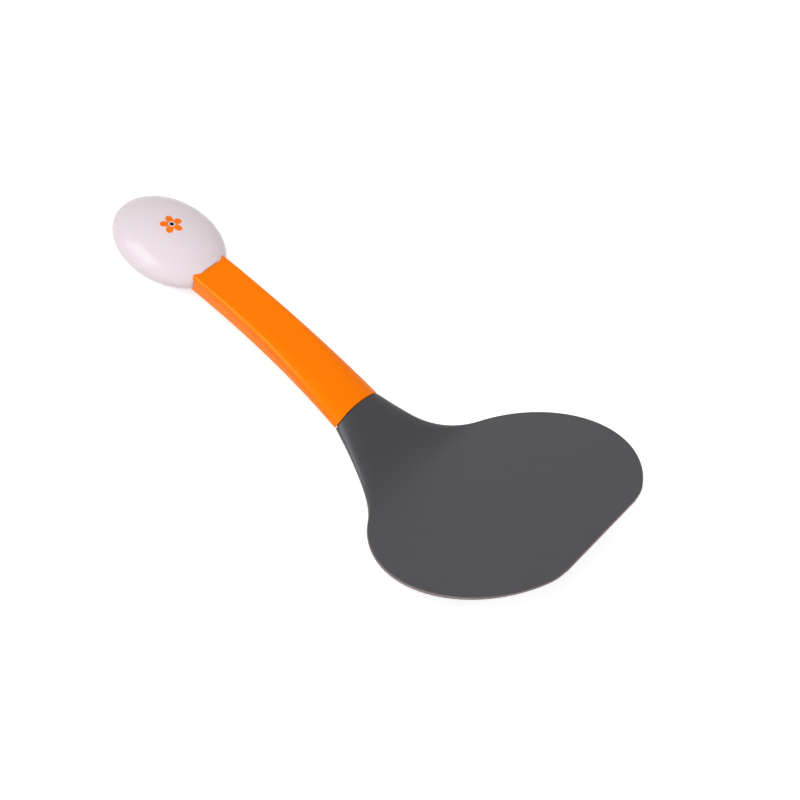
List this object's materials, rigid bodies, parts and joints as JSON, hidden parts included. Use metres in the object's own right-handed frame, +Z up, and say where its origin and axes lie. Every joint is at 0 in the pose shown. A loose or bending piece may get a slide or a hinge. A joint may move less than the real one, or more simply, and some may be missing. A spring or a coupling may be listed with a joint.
{
  "type": "flexible turner",
  "caption": "Wide flexible kitchen turner with a fan-shaped blade, raised neck, arched hollow handle and a flattened egg knob, for lifting and turning food.",
  "frame": {"origin": "centre of the tool's outline on the table, as it lies on the underside of its neck and the back of the egg", "axes": "+X along the tool from the egg to the front edge of the blade, +Y across the blade, +Z up from the table"},
  "size_m": [0.2656, 0.1248, 0.0526],
  "materials": {
    "blade": "matte dark grey flexible nylon",
    "handle": "glossy orange moulding",
    "egg": "glossy pinkish white moulding"
  },
  "bodies": {
    "root": {"blade": "blade", "handle_upper_shell": "handle", "handle_lower_shell": "handle", "egg_front_shell": "egg", "egg_back_shell": "egg"}
  },
  "joints": []
}
